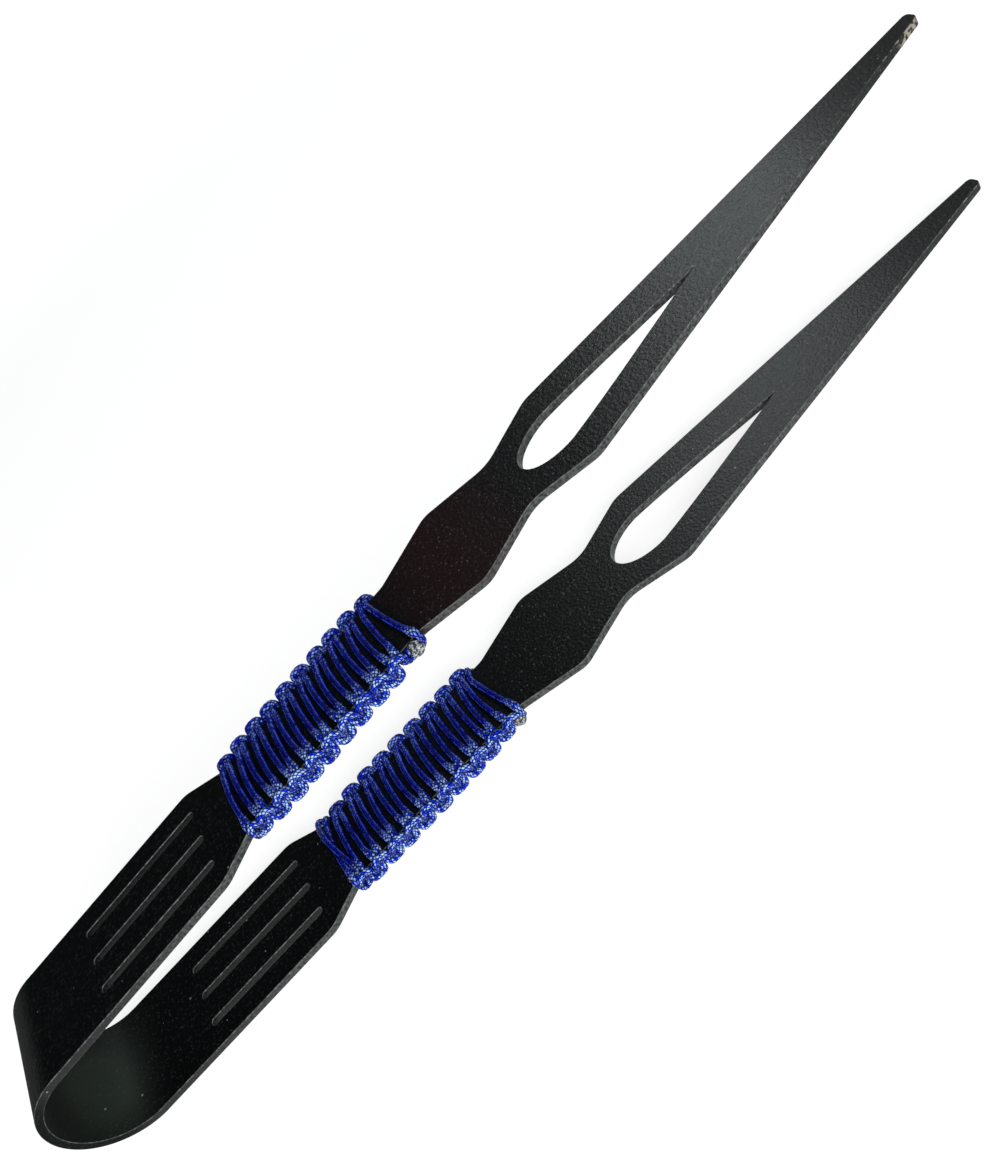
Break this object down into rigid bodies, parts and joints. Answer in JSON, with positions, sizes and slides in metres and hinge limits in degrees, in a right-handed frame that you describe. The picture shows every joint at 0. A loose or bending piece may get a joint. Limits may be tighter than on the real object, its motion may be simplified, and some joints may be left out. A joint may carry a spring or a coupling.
{
  "type": "grill tongs",
  "caption": "Spring tongs bent from one flat metal strip, with slotted handles, cord-wrapped grips, guard corners and long pointed blades with teardrop cut-outs.",
  "frame": {"origin": "on the axis of the bow, midway across the strip", "axes": "+X along the lower arm from the bow to its tip, +Y across the strip, +Z from the lower arm towards the upper arm"},
  "size_m": [0.444, 0.044, 0.0746],
  "materials": {
    "strip": "satin powder coat",
    "cord": "satin braid"
  },
  "bodies": {
    "lower_side": {"lower_arm": "strip", "spring_bow": "strip", "lower_grip_cord": "cord"},
    "upper_side": {"upper_arm": "strip", "upper_grip_cord": "cord"}
  },
  "joints": [
    {"name": "squeeze", "type": "hinge", "parent": "lower_side", "child": "upper_side", "pos_m": [0, 0, 0], "axis": [0, 1, 0], "range_deg": [0, 8.9], "stiffness_Nm_per_rad": 30, "springref_deg": -1.72, "deforming": ["spring_bow"]}
  ]
}
